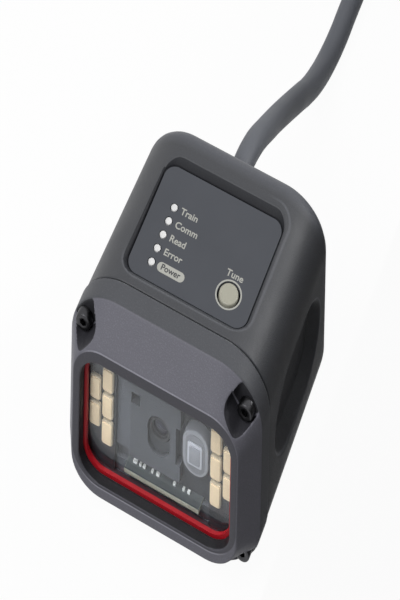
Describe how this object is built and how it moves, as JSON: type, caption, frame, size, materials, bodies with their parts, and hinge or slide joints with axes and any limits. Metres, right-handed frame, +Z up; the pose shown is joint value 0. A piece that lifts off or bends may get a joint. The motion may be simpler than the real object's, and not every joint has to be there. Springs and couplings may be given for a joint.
{
  "type": "fixed barcode reader",
  "caption": "Compact fixed-mount barcode reader: cast housing with side scoops, framed reading window with lamps and camera, status panel with tune button, and a coiled lead.",
  "frame": {"origin": "on the underside, below the middle of the body without its lead", "axes": "-Y is the front with the window, +X is to the right seen from the front, +Z is up"},
  "size_m": [0.09, 0.1954, 0.0468],
  "materials": {
    "bezel_paint": "satin textured paint",
    "housing_paint": "fine textured matt paint",
    "window_glass": "clear flat window",
    "red_seal": "smooth red elastomer",
    "black_rubber": "matt elastomer",
    "black_steel": "black oxide",
    "label_film": "satin printed film",
    "clear_pipe": "clear frosted",
    "button_grey": "satin moulding",
    "black_plastic": "matt moulding",
    "board_green": "solder resist",
    "board_black": "black solder resist",
    "board_edge": "bare laminate",
    "led_body": "clear resin over phosphor",
    "plated_steel": "zinc plated",
    "grey_plastic": "moulded, satin",
    "lens_glass": "clear moulded optic",
    "sensor_die": "chip under cover glass",
    "chip_ends": "tinned ends",
    "ivory_plastic": "nylon",
    "flex_film": "polyimide film",
    "relief_rubber": "matt overmould",
    "cable_jacket": "satin jacket",
    "tie_strap": "woven strap",
    "plug_metal": "nickel plated"
  },
  "bodies": {
    "reader": {"front_bezel": "bezel_paint", "window_glass": "window_glass", "window_seal": "red_seal", "bezel_gasket": "black_rubber", "bezel_screws": "black_steel", "housing": "housing_paint", "label_plate": "label_film", "light_pipe": "clear_pipe", "switch_body": "black_plastic", "status_board": "board_green", "status_leds": "led_body", "status_board_screws": "plated_steel", "carrier_frame": "grey_plastic", "carrier_screws": "plated_steel", "lamp_board_left": "board_black", "lamp_board_right": "board_black", "lamps": "led_body", "lens_barrel": "black_plastic", "front_lens": "lens_glass", "lens_holder": "black_plastic", "image_sensor": "sensor_die", "sensor_board": "board_green", "sensor_board_screws": "plated_steel", "aimer_lens": "lens_glass", "aimer_tube": "black_plastic", "aimer_led": "led_body", "front_board": "board_edge", "board_components": "chip_ends", "main_board": "board_green", "main_board_screws": "plated_steel", "processor": "black_plastic", "flex_sockets": "ivory_plastic", "flex_ribbon": "flex_film", "cable_socket": "ivory_plastic", "cable_gland": "relief_rubber", "cable_lead": "cable_jacket", "cable_coil": "cable_jacket", "coil_tie": "tie_strap", "cable_tail": "cable_jacket", "plug_grip": "relief_rubber", "plug_shell": "plug_metal", "plug_tongue": "ivory_plastic"},
    "tune": {"tune_button": "button_grey", "switch_plunger": "black_plastic"}
  },
  "joints": [
    {"name": "tune_press", "type": "slide", "parent": "reader", "child": "tune", "axis": [0, 0, -1], "range_m": [0, 0.0004], "stiffness_N_per_m": 4000}
  ]
}
